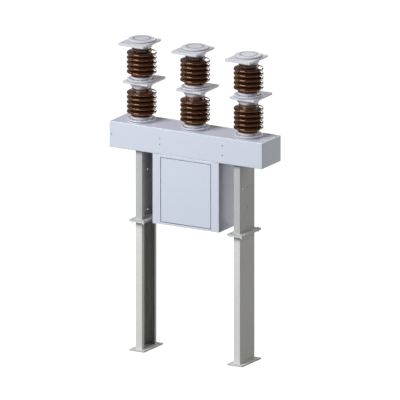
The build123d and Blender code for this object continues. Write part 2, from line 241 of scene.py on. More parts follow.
def shown(name, data):
    """An object in the scene that carries this data."""
    holder = bpy.data.objects.new(name, data)
    bpy.context.collection.objects.link(holder)
    return holder


def dressed(name, mesh, body="breaker", stands_for=()):
    """A finished piece that rides a body and takes its finish from a slot."""
    piece = shown(name, mesh)
    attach(piece, body)
    if stands_for:
        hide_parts(*stands_for)
    return piece


def plain_mesh(carrier):
    """The carrier's shape with its modifiers, as a plain mesh; the carrier goes."""
    evenly = carrier.modifiers.new("even_normals", "WEIGHTED_NORMAL")
    evenly.keep_sharp = True
    evaluated = carrier.evaluated_get(bpy.context.evaluated_depsgraph_get())
    mesh = bpy.data.meshes.new_from_object(evaluated)
    carrier.modifiers.clear()
    bpy.data.objects.remove(carrier)
    return mesh


def eased(node_name, edge, material, body="breaker"):
    """The node's own shape with its sharp edges broken, in the node's place."""
    form = bmesh.new()
    form.from_mesh(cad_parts[node_name].data)
    bmesh.ops.remove_doubles(form, verts=form.verts[:], dist=SAME_SPOT)
    bmesh.ops.dissolve_limit(form, angle_limit=FLAT_ANGLE, verts=form.verts[:],
                             edges=form.edges[:])
    for face in form.faces:
        face.smooth = True
        face.material_index = 0
    mesh = bpy.data.meshes.new(node_name)
    form.to_mesh(mesh)
    form.free()
    for layer in ("custom_normal", "sharp_edge", "sharp_face"):
        if layer in mesh.attributes:
            mesh.attributes.remove(mesh.attributes[layer])
    carrier = shown("carrier", mesh)
    broken = carrier.modifiers.new("broken_edge", "BEVEL")
    broken.width = edge
    broken.segments = 2
    broken.limit_method = "ANGLE"
    broken.angle_limit = BROKEN_ANGLE
    broken.use_clamp_overlap = False
    mesh = plain_mesh(carrier)
    mesh.materials.clear()
    mesh.materials.append(material)
    return dressed(f"finished_{node_name}", mesh, body, [node_name])


base_zinc = galvanise("zinc_of_base_plates", BASE_PLATE_GREY, BASE_PLATE_SHADED_SIDES)
lower_zinc = galvanise("zinc_of_lower_legs", LOWER_LEG_GREY, LOWER_LEG_SHADED_SIDES, LOWER_LEG_INSIDE_SHADE)
upper_zinc = galvanise("zinc_of_upper_legs", UPPER_LEG_GREY, UPPER_LEG_SHADED_SIDES, UPPER_LEG_INSIDE_SHADE)
for side in ("left", "right"):
    eased(f"{side}_base_plate", PLATE_EDGE, base_zinc)
    eased(f"{side}_lower_leg", CHANNEL_EDGE, lower_zinc)
    eased(f"{side}_lower_splice_plate", PLATE_EDGE, lower_zinc)
    eased(f"{side}_upper_splice_plate", PLATE_EDGE, upper_zinc)
    eased(f"{side}_upper_leg", CHANNEL_EDGE, upper_zinc)

# ---- Weld beads ----
# A fillet run round each channel end where it stands on a plate, laid by hand,
# so that its width wanders a little, and galvanised with the leg.

WELD_RADIUS = 0.0035
WELD_STANDOFF = 0.0005
WELD_WANDER = 0.35
BEND_STEPS = 6
FIRST_WELD_SEED = 12
CHANNEL_BEND = 0.010


def shape_tree(name, **sizes):
    """A geometry tree with sizes as inputs, whole numbers as counts and seeds, and a finish."""
    sockets = [("Geometry", "NodeSocketGeometry", None)]
    for label, value in sizes.items():
        kind = "NodeSocketInt" if isinstance(value, int) else "NodeSocketFloat"
        sockets.append((label.replace("_", " "), kind, value))
    sockets.append(("Finish", "NodeSocketMaterial", None))
    return node_group(name, "GeometryNodeTree", sockets, [("Geometry", "NodeSocketGeometry")])


def ended(tree, shape, given, result):
    """Ends a tree: its instances are made real and get their finish."""
    real = place(tree, "GeometryNodeRealizeInstances", Geometry=shape)
    finished = place(tree, "GeometryNodeSetMaterial", Geometry=real.outputs["Geometry"],
                     Material=given["Finish"])
    plug(tree, finished.outputs["Geometry"], result["Geometry"])


sweeping, given, result = shape_tree("swept_bead", Bead_Radius=0.003, Bead_Sides=8,
                                     Corner_Radius=0.01, Step=0.004, Wander=0.0, Seed=1)
route = place(sweeping, "GeometryNodeMeshToCurve", Mesh=given["Geometry"])
rounded = place(sweeping, "GeometryNodeFilletCurve", mode="POLY", Curve=route.outputs["Curve"],
                Count=BEND_STEPS, Radius=given["Corner Radius"], Limit_Radius=True)
stepped = place(sweeping, "GeometryNodeResampleCurve", mode="LENGTH",
                Curve=rounded.outputs["Curve"], Length=given["Step"])
least = calc(sweeping, "SUBTRACT", 1.0, given["Wander"])
width = place(sweeping, "FunctionNodeRandomValue", data_type="FLOAT", Min=least, Max=1.0,
              Seed=given["Seed"])
bead_profile = place(sweeping, "GeometryNodeCurvePrimitiveCircle", Resolution=given["Bead Sides"],
                     Radius=given["Bead Radius"])
swept = place(sweeping, "GeometryNodeCurveToMesh", Curve=stepped.outputs["Curve"],
              Profile_Curve=bead_profile.outputs["Curve"], Scale=width.outputs[1],
              Fill_Caps=True)
smooth = place(sweeping, "GeometryNodeSetShadeSmooth", Geometry=swept.outputs["Mesh"])
ended(sweeping, smooth.outputs["Geometry"], given, result)


def grown(tree, base, **sizes):
    """The plain mesh that a tree makes from a base mesh and its named inputs."""
    carrier = shown("carrier", base)
    modifier = carrier.modifiers.new("tree", "NODES")
    modifier.node_group = tree
    wanted = {name.replace("_", " "): value for name, value in sizes.items()}
    for socket in tree.interface.items_tree:
        if socket.item_type == "SOCKET" and socket.name in wanted:
            modifier[socket.identifier] = wanted.pop(socket.name)
    if wanted:
        raise ValueError(f"the tree has no input named {sorted(wanted)}")
    return plain_mesh(carrier)


def wire(routes, closed=False, **point_values):
    """A mesh of edges through the points of each route, with values on its points."""
    corners = [corner for route in routes for corner in route]
    edges = []
    start = 0
    for route in routes:
        last = start + len(route) - 1
        edges += [(i, i + 1) for i in range(start, last)]
        edges += [(last, start)] if closed else []
        start = last + 1
    mesh = bpy.data.meshes.new("wire")
    mesh.from_pydata(corners, edges, [])
    for name, values in point_values.items():
        kind = "FLOAT" if isinstance(values[0], float) else "FLOAT_VECTOR"
        layer = mesh.attributes.new(name, kind, "POINT")
        flat = values if kind == "FLOAT" else [part for value in values for part in value]
        layer.data.foreach_set("value" if kind == "FLOAT" else "vector", flat)
    return mesh


def channel_route(side, low, high, z):
    """Round the outside of a channel at a height, from one lip end to the other."""
    outer_x = high.x if side > 0 else low.x
    mouth_x = low.x if side > 0 else high.x
    outer_x += side * WELD_STANDOFF
    mouth_x -= side * WELD_STANDOFF
    near = low.y - WELD_STANDOFF
    far = high.y + WELD_STANDOFF
    return [
        (mouth_x, near + CHANNEL_LIP, z),
        (mouth_x, near, z),
        (outer_x, near, z),
        (outer_x, far, z),
        (mouth_x, far, z),
        (mouth_x, far - CHANNEL_LIP, z),
    ]


for weld_seed, (side_name, side) in enumerate((("left", -1), ("right", 1)), FIRST_WELD_SEED):
    routes = []
    for leg in ("lower_leg", "upper_leg"):
        low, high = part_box(f"{side_name}_{leg}")
        routes.append(channel_route(side, low, high, low.z))
        if leg == "lower_leg":
            routes.append(channel_route(side, low, high, high.z))
    beads = grown(sweeping, wire(routes), Bead_Radius=WELD_RADIUS, Corner_Radius=CHANNEL_BEND,
                  Wander=WELD_WANDER, Seed=weld_seed, Finish=lower_zinc)
    dressed(f"{side_name}_leg_welds", beads)

# ---- Splice and beam bolts ----
# M16 galvanised bolts with washers hold the two plates of each splice together and
# each leg's cap plate to the beam. A nut is drawn like a head, with the bolt through it.

SPLICE_BOLT_X = 0.0725
SPLICE_BOLT_Y = 0.190
BEAM_BOLT_Y = 0.100
CAP_PLATE = 0.008
HEAD_REACH = -0.001
NUT_REACH = 0.006
M16 = {"Across_Flats": 0.024, "Head_Height": 0.010, "Washer_Radius": 0.015,
       "Washer_Thickness": 0.003, "Bolt_Radius": 0.008}
CROWN_FLAT = 0.47
CROWN_DEPTH = 1.2
BOLT_TIP = 0.85
CROWN_SIDES = 36
WASHER_SIDES = 32
BOLT_SIDES = 24
SLIVER = 0.00002
BOLT_ZINC = (0.66, 0.67, 0.68)


def raised(tree, shape, height):
    """A node's shape moved up its own axis."""
    shift = place(tree, "ShaderNodeCombineXYZ", Z=height)
    return place(tree, "GeometryNodeTransform", Geometry=shape.outputs[0],
                 Translation=shift.outputs["Vector"])


def fastened(tree, fastener, given, result):
    """Ends a tree with a fastener on each point, facing its way and tightened to any turn."""
    facing = place(tree, "GeometryNodeInputNamedAttribute", data_type="FLOAT_VECTOR",
                   Name="facing")
    upright = place(tree, "FunctionNodeAlignRotationToVector", axis="Z",
                    Vector=facing.outputs["Attribute"])
    angle = place(tree, "FunctionNodeRandomValue", data_type="FLOAT", Min=0.0, Max=math.tau,
                  Seed=given["Seed"])
    twist = place(tree, "FunctionNodeAxisAngleToRotation", Axis=(0, 0, 1), Angle=angle.outputs[1])
    tightened = place(tree, "FunctionNodeRotateRotation", rotation_space="LOCAL",
                      Rotation=upright.outputs["Rotation"], Rotate_By=twist.outputs["Rotation"])
    placed = place(tree, "GeometryNodeInstanceOnPoints", Points=given["Geometry"],
                   Instance=fastener, Rotation=tightened.outputs["Rotation"])
    ended(tree, placed.outputs["Instances"], given, result)


bolting, given, result = shape_tree("hex_fasteners", **M16, Bolt_Reach=HEAD_REACH, Seed=1)
head_height = given["Head Height"]
washer_top = given["Washer Thickness"]
corner_radius = calc(bolting, "DIVIDE", given["Across Flats"], math.sqrt(3))
hexagon = place(bolting, "GeometryNodeMeshCylinder", Vertices=6, Radius=corner_radius,
                Depth=head_height)
crown_top = calc(bolting, "MULTIPLY", given["Across Flats"], CROWN_FLAT)
crown_depth = calc(bolting, "MULTIPLY", head_height, CROWN_DEPTH)
crown_foot = calc(bolting, "MULTIPLY_ADD", crown_depth, math.sqrt(3), crown_top)
crown = place(bolting, "GeometryNodeMeshCone", Vertices=CROWN_SIDES, Radius_Top=crown_top,
              Radius_Bottom=crown_foot, Depth=crown_depth)
crown = raised(bolting, crown, calc(bolting, "MULTIPLY", head_height, 0.5 - CROWN_DEPTH))
chamfered = place(bolting, "GeometryNodeMeshBoolean", operation="INTERSECT", solver="EXACT")
plug(bolting, hexagon.outputs["Mesh"], chamfered.inputs["Mesh 2"])
plug(bolting, crown.outputs["Geometry"], chamfered.inputs["Mesh 2"])
cleaned = place(bolting, "GeometryNodeMergeByDistance", Geometry=chamfered.outputs["Mesh"],
                Distance=SLIVER)
head = raised(bolting, cleaned, calc(bolting, "MULTIPLY_ADD", head_height, 0.5, washer_top))
washer = place(bolting, "GeometryNodeMeshCylinder", Vertices=WASHER_SIDES,
               Radius=given["Washer Radius"], Depth=washer_top)
washer = raised(bolting, washer, calc(bolting, "MULTIPLY", washer_top, 0.5))
bolt_end = calc(bolting, "ADD", calc(bolting, "ADD", head_height, washer_top), given["Bolt Reach"])
bolt = place(bolting, "GeometryNodeMeshCylinder", Vertices=BOLT_SIDES, Radius=given["Bolt Radius"],
             Depth=bolt_end)
bolt = raised(bolting, bolt, calc(bolting, "MULTIPLY", bolt_end, 0.5))
tip_radius = calc(bolting, "MULTIPLY", given["Bolt Radius"], BOLT_TIP)
tip = place(bolting, "GeometryNodeMeshCone", Vertices=BOLT_SIDES, Radius_Top=tip_radius,
            Radius_Bottom=given["Bolt Radius"],
            Depth=calc(bolting, "SUBTRACT", given["Bolt Radius"], tip_radius))
tip = raised(bolting, tip, bolt_end)
fastener = place(bolting, "GeometryNodeJoinGeometry")
for member in (head, washer, bolt, tip):
    plug(bolting, member.outputs["Geometry"], fastener.inputs["Geometry"])
fastened(bolting, fastener.outputs["Geometry"], given, result)

bolt_zinc = finish("bright_bolt_zinc", BOLT_ZINC, BARE_ZINC, roughness=0.32, metallic=0.85,
                   wear=0.2, wear_radius=0.001, veil=0.1, cloud_scale=30.0, cloud_depth=0.1)


def spots(places, facing):
    """A mesh of loose points that all face one way."""
    return wire([[place] for place in places], facing=[facing] * len(places))


def merged(meshes):
    """One mesh from several."""
    form = bmesh.new()
    for mesh in meshes:
        form.from_mesh(mesh)
    whole = meshes[0].copy()
    form.to_mesh(whole)
    form.free()
    return whole


splice_parts = []
for side in ("left", "right"):
    low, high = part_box(f"{side}_upper_splice_plate")
    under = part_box(f"{side}_lower_splice_plate")[0].z
    middle_x = (low.x + high.x) / 2
    corners = [(middle_x + x, y) for x in (-SPLICE_BOLT_X, SPLICE_BOLT_X)
               for y in (-SPLICE_BOLT_Y, SPLICE_BOLT_Y)]
    heads = spots([(x, y, high.z) for x, y in corners], (0.0, 0.0, 1.0))
    nuts = spots([(x, y, under) for x, y in corners], (0.0, 0.0, -1.0))
    splice_parts.append(grown(bolting, heads, Seed=3, Finish=bolt_zinc, **M16))
    splice_parts.append(grown(bolting, nuts, Seed=4, Bolt_Reach=NUT_REACH, Finish=bolt_zinc,
                              **M16))
    low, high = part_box(f"{side}_upper_leg")
    middle_x = (low.x + high.x) / 2
    cap_under = high.z - CAP_PLATE
    cap_spots = [(middle_x, y, cap_under) for y in (-BEAM_BOLT_Y, BEAM_BOLT_Y)]
    cap_heads = spots(cap_spots, (0.0, 0.0, -1.0))
    splice_parts.append(grown(bolting, cap_heads, Seed=5, Finish=bolt_zinc, **M16))
dressed("leg_bolts", merged(splice_parts))

# ---- Mechanism cabinet ----
# A box of folded 3 mm sheet with a door that turns on two pins, sprayed with a light
# blue-grey gloss enamel. The sheet edges are dressed before painting, so they shine.

SHEET_EDGE = 0.0006
DOOR_EDGE = 0.0004
BODY_BLUE_GREY = (0.625, 0.655, 0.765)
DOOR_BLUE_GREY = (0.61, 0.665, 0.77)
ENAMEL_WORN = (0.72, 0.74, 0.80)
ENAMEL_GLOSS = 0.16


def enamel(name, colour):
    """Sprayed gloss enamel with a little orange peel."""
    return finish(name, colour, ENAMEL_WORN, ENAMEL_GLOSS, wear=0.25, wear_radius=0.002,
                  veil=0.10, cloud_scale=1.6, cloud_depth=0.015, grain_scale=260.0,
                  grain_depth=0.00003)


body_enamel = enamel("cabinet_body_enamel", BODY_BLUE_GREY)
door_enamel = enamel("cabinet_door_enamel", DOOR_BLUE_GREY)
for panel in ("left_side", "right_side", "floor", "roof", "rear_panel", "door_frame"):
    eased(f"cabinet_{panel}", SHEET_EDGE, body_enamel)
eased("cabinet_door", DOOR_EDGE, door_enamel, body="door")

# ---- Door seal ----
# A round cord of black rubber pressed into the stop of the door frame, one closed
# loop with rounded corners.

SEAL_RADIUS = 0.0035
SEAL_STANDOFF = 0.0014
SEAL_CORNER = 0.012
SEAL_STEP = 0.01
SEAL_SIDES = 12
SEAL_INSET = 0.0115
STOP_THICKNESS = 0.003
RUBBER_BLACK = (0.018, 0.018, 0.019)
RUBBER_WORN = (0.05, 0.05, 0.05)

seal_rubber = finish("seal_rubber", RUBBER_BLACK, RUBBER_WORN, roughness=0.6, wear=0.3,
                     veil=0.2, cloud_scale=20.0, cloud_depth=0.15, grain_scale=900.0,
                     grain_depth=0.0001)
low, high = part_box("cabinet_door_frame")
seal_y = high.y - STOP_THICKNESS - SEAL_STANDOFF
left_x = low.x + SEAL_INSET
right_x = high.x - SEAL_INSET
foot_z = low.z + SEAL_INSET
head_z = high.z - SEAL_INSET
loop = [(left_x, seal_y, foot_z), (right_x, seal_y, foot_z),
        (right_x, seal_y, head_z), (left_x, seal_y, head_z)]
seal = grown(sweeping, wire([loop], closed=True), Bead_Radius=SEAL_RADIUS,
             Bead_Sides=SEAL_SIDES, Corner_Radius=SEAL_CORNER, Step=SEAL_STEP, Finish=seal_rubber)
dressed("door_seal", seal)

# ---- Cover screws ----
# Button-head screws with a hexagon socket: a few black ones in the beam covers and
# small ones in enamel round the rear panel of the cabinet.

# The beam's screws, each by its distances from the left end and below the top.
BEAM_SCREWS = [(0.028, 0.149), (0.659, 0.121), (0.659, 0.189), (1.480, 0.096), (1.480, 0.205)]
M8 = {"Head_Radius": 0.007, "Head_Height": 0.0038, "Socket_Radius": 0.0027,
      "Socket_Depth": 0.0025}
M6 = {"Head_Radius": 0.0055, "Head_Height": 0.003, "Socket_Radius": 0.0023,
      "Socket_Depth": 0.0018}
REAR_SCREW_IN = 0.013
REAR_SCREW_END = 0.04
REAR_SCREWS_UP = 5
SKIRT_HEIGHT = 0.45
SHOULDER_WIDTH = 0.94
CROWN_WIDTH = 0.66
SCREW_SIDES = 28
SCREW_BLACK = (0.022, 0.022, 0.024)
SCREW_WORN = (0.18, 0.18, 0.18)

screwing, given, result = shape_tree("socket_screws", **M8, Seed=1)
skirt_height = calc(screwing, "MULTIPLY", given["Head Height"], SKIRT_HEIGHT)
shoulder_radius = calc(screwing, "MULTIPLY", given["Head Radius"], SHOULDER_WIDTH)
skirt = place(screwing, "GeometryNodeMeshCone", Vertices=SCREW_SIDES, Depth=skirt_height,
              Radius_Top=shoulder_radius, Radius_Bottom=given["Head Radius"])
crown_height = calc(screwing, "SUBTRACT", given["Head Height"], skirt_height)
crown_radius = calc(screwing, "MULTIPLY", given["Head Radius"], CROWN_WIDTH)
crown = place(screwing, "GeometryNodeMeshCone", Vertices=SCREW_SIDES, Depth=crown_height,
              Radius_Top=crown_radius, Radius_Bottom=shoulder_radius)
crown = raised(screwing, crown, skirt_height)
button = place(screwing, "GeometryNodeMeshBoolean", operation="UNION", solver="EXACT")
plug(screwing, skirt.outputs["Mesh"], button.inputs["Mesh 2"])
plug(screwing, crown.outputs["Geometry"], button.inputs["Mesh 2"])
key = place(screwing, "GeometryNodeMeshCylinder", Vertices=6, Radius=given["Socket Radius"],
            Depth=calc(screwing, "MULTIPLY", given["Socket Depth"], 2.0))
key = raised(screwing, key, given["Head Height"])
socketed = place(screwing, "GeometryNodeMeshBoolean", operation="DIFFERENCE", solver="EXACT")
plug(screwing, button.outputs["Mesh"], socketed.inputs["Mesh 1"])
plug(screwing, key.outputs["Geometry"], socketed.inputs["Mesh 2"])
fastened(screwing, socketed.outputs["Mesh"], given, result)

screw_black = finish("blackened_screws", SCREW_BLACK, SCREW_WORN, roughness=0.42, metallic=0.3,
                     wear=0.3, wear_radius=0.0006, veil=0.1, cloud_scale=60.0, cloud_depth=0.15)
cover_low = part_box("beam_left_end_cap")[0]
cover_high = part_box("beam_right_end_cap")[1]
front_spots = [(cover_low.x + x, cover_low.y, cover_high.z - drop) for x, drop in BEAM_SCREWS]
back_spots = [(-x, -y, z) for x, y, z in front_spots]
beam_screws = [
    grown(screwing, spots(front_spots, (0.0, -1.0, 0.0)), Seed=21, Finish=screw_black, **M8),
    grown(screwing, spots(back_spots, (0.0, 1.0, 0.0)), Seed=22, Finish=screw_black, **M8),
]
dressed("beam_cover_screws", merged(beam_screws))

low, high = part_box("cabinet_rear_panel")
first_row = low.z + REAR_SCREW_END
row_pitch = (high.z - low.z - 2 * REAR_SCREW_END) / (REAR_SCREWS_UP - 1)
rear_spots = [(x, high.y, first_row + row_pitch * i) for i in range(REAR_SCREWS_UP)
              for x in (low.x + REAR_SCREW_IN, high.x - REAR_SCREW_IN)]
rear_screws = grown(screwing, spots(rear_spots, (0.0, 1.0, 0.0)), Seed=23, Finish=body_enamel,
                    **M6)
dressed("rear_panel_screws", rear_screws)

# ---- Beam ----
# Two folded 4 mm covers and two pressed end caps over a flat deck and a flat bottom plate, in the
# same gloss enamel as the cabinet. The deck and the bottom plate are painted a darker, greyer blue
# as shade.

BEAM_BLUE_GREY = (0.605, 0.65, 0.752)
# Painted shade: the deck's colour is darker than the covers' to stand for the duller light on top.
SHADED_DECK_BLUE_GREY = (0.575, 0.59, 0.70)

beam_enamel = enamel("beam_enamel", BEAM_BLUE_GREY)
shaded_deck_enamel = enamel("shaded_deck_enamel", SHADED_DECK_BLUE_GREY)
for cover in ("front_cover", "rear_cover", "left_end_cap", "right_end_cap"):
    eased(f"beam_{cover}", SHEET_EDGE, beam_enamel)
for deck_plate in ("top_plate", "bottom_plate"):
    eased(f"beam_{deck_plate}", PLATE_EDGE, shaded_deck_enamel)

# ---- Foot flanges and top covers ----
# Aluminium castings turned on their joint faces and painted with a satin silver-grey: a flange
# with a collar under each porcelain, and a dished cover on each column. Their creases are painted
# a dark blue-grey as shade.

CAST_SILVER = (0.61, 0.61, 0.675)
CAST_WORN = (0.78, 0.79, 0.82)
TURNED_SEGMENTS = 112
FLANGE_RADIUS = 0.165
FLANGE_THICKNESS = 0.022
COLLAR_RADIUS = 0.125
COLLAR_DRAFT = 0.004
COLLAR_HEIGHT = 0.028
SOCKET_RADIUS = 0.1125
SOCKET_DEPTH = 0.012
COVER_RADIUS = 0.157
COVER_THICKNESS = 0.022
COVER_SLOPE_HEIGHT = 0.008
COVER_SLOPE_WIDTH = 0.016
BOSS_RADIUS = 0.093
GROOVE_WIDTH = 0.006
GROOVE_DEPTH = 0.002
SHARP_EDGE = 0.001
FLANGE_FOOT_EDGE = 0.0015
FLANGE_RIM_EDGE = 0.003
COLLAR_ROOT = 0.002
COLLAR_EDGE = 0.004
COVER_EDGE = 0.002
SEAM_WIDTH = 0.00001
CREASE_SHADE_BLUE = (0.10, 0.115, 0.14)
CREASE_SHADE_REACH = 0.012
CREASE_SHADE_PATCHES = 30.0
CREASE_SHADE_BASE = 0.6
CREASE_SHADE_LIMIT = 0.85

turning, given, result = node_group(
    "turned_from_profile", "GeometryNodeTree",
    [("Profile", "NodeSocketGeometry", None), ("Segments", "NodeSocketInt", 96)],
    [("Body", "NodeSocketGeometry")])
profile_size = place(turning, "GeometryNodeAttributeDomainSize", component="CURVE",
                     Geometry=given["Profile"])
profile_points = profile_size.outputs["Point Count"]
rings = calc(turning, "ADD", given["Segments"], 1.0)
skin_grid = place(turning, "GeometryNodeMeshGrid", Vertices_X=rings, Vertices_Y=profile_points)
index = place(turning, "GeometryNodeInputIndex").outputs["Index"]
ring = calc(turning, "FLOOR", calc(turning, "DIVIDE", index, profile_points))
along = calc(turning, "SUBTRACT", index, calc(turning, "MULTIPLY", ring, profile_points))
turn = calc(turning, "MULTIPLY", calc(turning, "DIVIDE", ring, given["Segments"]), math.tau)
position = place(turning, "GeometryNodeInputPosition").outputs["Position"]
profile_spot = place(turning, "GeometryNodeSampleIndex", data_type="FLOAT_VECTOR",
                     domain="POINT", Geometry=given["Profile"], Value=position, Index=along)
swung = place(turning, "ShaderNodeVectorRotate", rotation_type="Z_AXIS",
              Vector=profile_spot.outputs["Value"], Angle=turn)
skin = place(turning, "GeometryNodeSetPosition", Geometry=skin_grid.outputs["Mesh"],
             Position=swung.outputs["Vector"])
closed_skin = place(turning, "GeometryNodeMergeByDistance", Geometry=skin.outputs["Geometry"],
                    Distance=SEAM_WIDTH)
smooth = place(turning, "GeometryNodeSetShadeSmooth", Geometry=closed_skin.outputs["Geometry"])
plug(turning, smooth.outputs["Geometry"], result["Body"])


def turned_body(tree, corners, steps, segments):
    """A body turned from a curve through corners, each rounded in steps by its own value."""
    rounding = place(tree, "GeometryNodeInputNamedAttribute", data_type="FLOAT", Name="rounding")
    softened = place(tree, "GeometryNodeFilletCurve", mode="POLY", Curve=corners, Count=steps,
                     Radius=rounding.outputs["Attribute"], Limit_Radius=True)
    body = place(tree, "GeometryNodeGroup", node_tree=turning, Segments=segments,
                 Profile=softened.outputs["Curve"])
    return body.outputs["Body"]


casting_tree, given, result = shape_tree("turned_casting", Segments=96, Rounding_Steps=4)
outline = place(casting_tree, "GeometryNodeMeshToCurve", Mesh=given["Geometry"])
body = turned_body(casting_tree, outline.outputs["Curve"], given["Rounding Steps"],
                   given["Segments"])
ended(casting_tree, body, given, result)


def turned(outline, material):
    """A turned shape from (radius, height, rounding) corners, from axis to axis."""
    corners = [(radius, 0.0, height) for radius, height, rounding in outline]
    roundings = [float(rounding) for radius, height, rounding in outline]
    return grown(casting_tree, wire([corners], rounding=roundings), Segments=TURNED_SEGMENTS,
                 Finish=material)


def moved(mesh, x, y, z):
    """A copy of a mesh with its place in it."""
    copy = mesh.copy()
    copy.transform(Matrix.Translation((x, y, z)))
    return copy


def grimed(mesh, *creases):
    """Marks how near each point is to a crease, where the silver is painted darker as shade."""
    layer = mesh.attributes.new("crease_shade", "FLOAT", "POINT")
    for vertex in mesh.vertices:
        radius = math.hypot(vertex.co.x, vertex.co.y)
        off = min(math.hypot(radius - r, vertex.co.z - z) for r, z in creases)
        layer.data[vertex.index].value = max(0.0, 1.0 - off / CREASE_SHADE_REACH)
    return mesh


silver = finish("cast_silver", CAST_SILVER, CAST_WORN, roughness=0.30, wear=0.4,
                wear_radius=0.003, metallic=0.05, veil=0.12, cloud_scale=7.0, cloud_depth=0.03,
                grain_scale=700.0, grain_depth=0.00006)
tree = silver.node_tree
# Painted shade: a dark blue-grey in patches near the creases at the feet of the flange, collar and
# cover and in the cover's groove.
near_crease = place(tree, "ShaderNodeAttribute", attribute_name="crease_shade").outputs["Fac"]
patchy = calc(tree, "ADD", cloud(tree, CREASE_SHADE_PATCHES), CREASE_SHADE_BASE)
crease_shade_share = calc(tree, "MINIMUM", calc(tree, "MULTIPLY", near_crease, patchy), CREASE_SHADE_LIMIT)
tinted(tree, crease_shade_share, CREASE_SHADE_BLUE)

collar_foot = COLLAR_RADIUS + COLLAR_DRAFT
collar_top = FLANGE_THICKNESS + COLLAR_HEIGHT
cover_brow = COVER_THICKNESS - COVER_SLOPE_HEIGHT
crease_shade_top = FLANGE_THICKNESS + CREASE_SHADE_REACH
crease_shade_radius = collar_foot - COLLAR_DRAFT * CREASE_SHADE_REACH / COLLAR_HEIGHT
socket_floor = collar_top - SOCKET_DEPTH
groove_floor = COVER_THICKNESS - GROOVE_DEPTH
groove_edge = BOSS_RADIUS + GROOVE_WIDTH
flange_shape = grimed(turned([
    (0, 0, 0),
    (FLANGE_RADIUS, 0, FLANGE_FOOT_EDGE),
    (FLANGE_RADIUS, CREASE_SHADE_REACH, 0),
    (FLANGE_RADIUS, FLANGE_THICKNESS, FLANGE_RIM_EDGE),
    (collar_foot + CREASE_SHADE_REACH, FLANGE_THICKNESS, 0),
    (collar_foot, FLANGE_THICKNESS, COLLAR_ROOT),
    (crease_shade_radius, crease_shade_top, 0),
    (COLLAR_RADIUS, collar_top, COLLAR_EDGE),
    (SOCKET_RADIUS, collar_top, SHARP_EDGE),
    (SOCKET_RADIUS, socket_floor, 0),
    (0, socket_floor, 0),
], silver), (FLANGE_RADIUS, 0), (collar_foot, FLANGE_THICKNESS))
cover_shape = grimed(turned([
    (0, 0, 0),
    (COVER_RADIUS, 0, SHARP_EDGE),
    (COVER_RADIUS, CREASE_SHADE_REACH, 0),
    (COVER_RADIUS, cover_brow, COVER_EDGE),
    (COVER_RADIUS - COVER_SLOPE_WIDTH, COVER_THICKNESS, COVER_EDGE),
    (groove_edge + CREASE_SHADE_REACH, COVER_THICKNESS, 0),
    (groove_edge, COVER_THICKNESS, SHARP_EDGE),
    (groove_edge, groove_floor, SHARP_EDGE),
    (BOSS_RADIUS, groove_floor, SHARP_EDGE),
    (BOSS_RADIUS, COVER_THICKNESS, SHARP_EDGE),
    (BOSS_RADIUS - CREASE_SHADE_REACH, COVER_THICKNESS, 0),
    (0, COVER_THICKNESS, 0),
], silver), (COVER_RADIUS, 0), (BOSS_RADIUS + GROOVE_WIDTH / 2, COVER_THICKNESS))
for pole in ("left", "centre", "right"):
    low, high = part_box(f"{pole}_top_cover")
    axis = (low + high) / 2
    for part, casting in (("lower_foot_flange", flange_shape), ("upper_foot_flange", flange_shape),
                          ("top_cover", cover_shape)):
        node_name = f"{pole}_{part}"
        shape = moved(casting, axis.x, axis.y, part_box(node_name)[0].z)
        dressed(f"turned_{node_name}", shape, stands_for=[node_name])

# ---- Flange bolts ----
# Eight galvanised M12 bolts with washers hold each foot flange down on its seat,
# on a circle that keeps their heads clear of the collar.

FLANGE_BOLTS = 8
BOLT_CIRCLE = 0.144
M12 = {"Across_Flats": 0.018, "Head_Height": 0.0075, "Washer_Radius": 0.012,
       "Washer_Thickness": 0.0025, "Bolt_Radius": 0.006}


def sections(piece):
    """The name, middle, foot and top of a piece in each section of each column."""
    for pole in ("left", "centre", "right"):
        for level in ("lower", "upper"):
            node_name = f"{pole}_{level}_{piece}"
            low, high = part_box(node_name)
            yield node_name, (low + high) / 2, low.z, high.z


bolt_places = []
for node_name, middle, foot, top in sections("foot_flange"):
    for i in range(FLANGE_BOLTS):
        turn = (i + 0.5) * math.tau / FLANGE_BOLTS
        bolt_places.append((middle.x + BOLT_CIRCLE * math.cos(turn),
                            middle.y + BOLT_CIRCLE * math.sin(turn),
                            foot + FLANGE_THICKNESS))
flange_bolts = grown(bolting, spots(bolt_places, (0.0, 0.0, 1.0)), Seed=31, Finish=bolt_zinc,
                     **M12)
dressed("flange_bolts", flange_bolts)

# ---- Porcelains ----
# Hollow-core porcelain with a deep brown glaze, fired in one piece: a rim above the collar, then
# sheds with rounded tips that slope to throw off rain. The undersides of the sheds are painted a
# lighter red-brown, as painted light in their shade.

GLAZE_BROWN = (0.036, 0.0108, 0.003)
LIT_UNDERSIDE_BROWN = (0.29, 0.084, 0.018)
UNDERSIDE_LIGHT_FROM = 0.1
UNDERSIDE_LIGHT_TO = -0.3
GLAZE_TINT = (1.0, 0.70, 0.52, 1.0)
GLAZE_SHINE = 0.62
GLAZE_IOR = 1.6
CORE_RADIUS = 0.112
RIM_FOOT = SOCKET_DEPTH + 0.002
RIM_HEIGHT = 0.014
SHED_CORNERS = 4.0
SHED_ROUNDING_STEPS = 6
PORCELAIN = {
    "Core_Radius": CORE_RADIUS, "Neck_Radius": 0.106, "Neck_Taper": 0.008, "Foot": 0.0,
    "Top": 0.341, "Rim_Radius": 0.122, "Rim_Low": RIM_FOOT, "Rim_High": RIM_FOOT + RIM_HEIGHT,
    "Shed_Count": 5, "First_Shed": SOCKET_DEPTH + 0.052, "Shed_Pitch": 0.055,
    "Shed_Radius": 0.171, "Shed_Tip": 0.020, "Shed_Rise": 0.016, "Shed_Undercut": 0.005,
    "Brow_Rounding": 0.016, "Lip_Rounding": 0.005, "Root_Rounding": 0.008,
    "Shoulder_Rounding": 0.014, "Rim_Rounding": 0.007, "Edge_Rounding": 0.003,
    "Segments": 128,
}

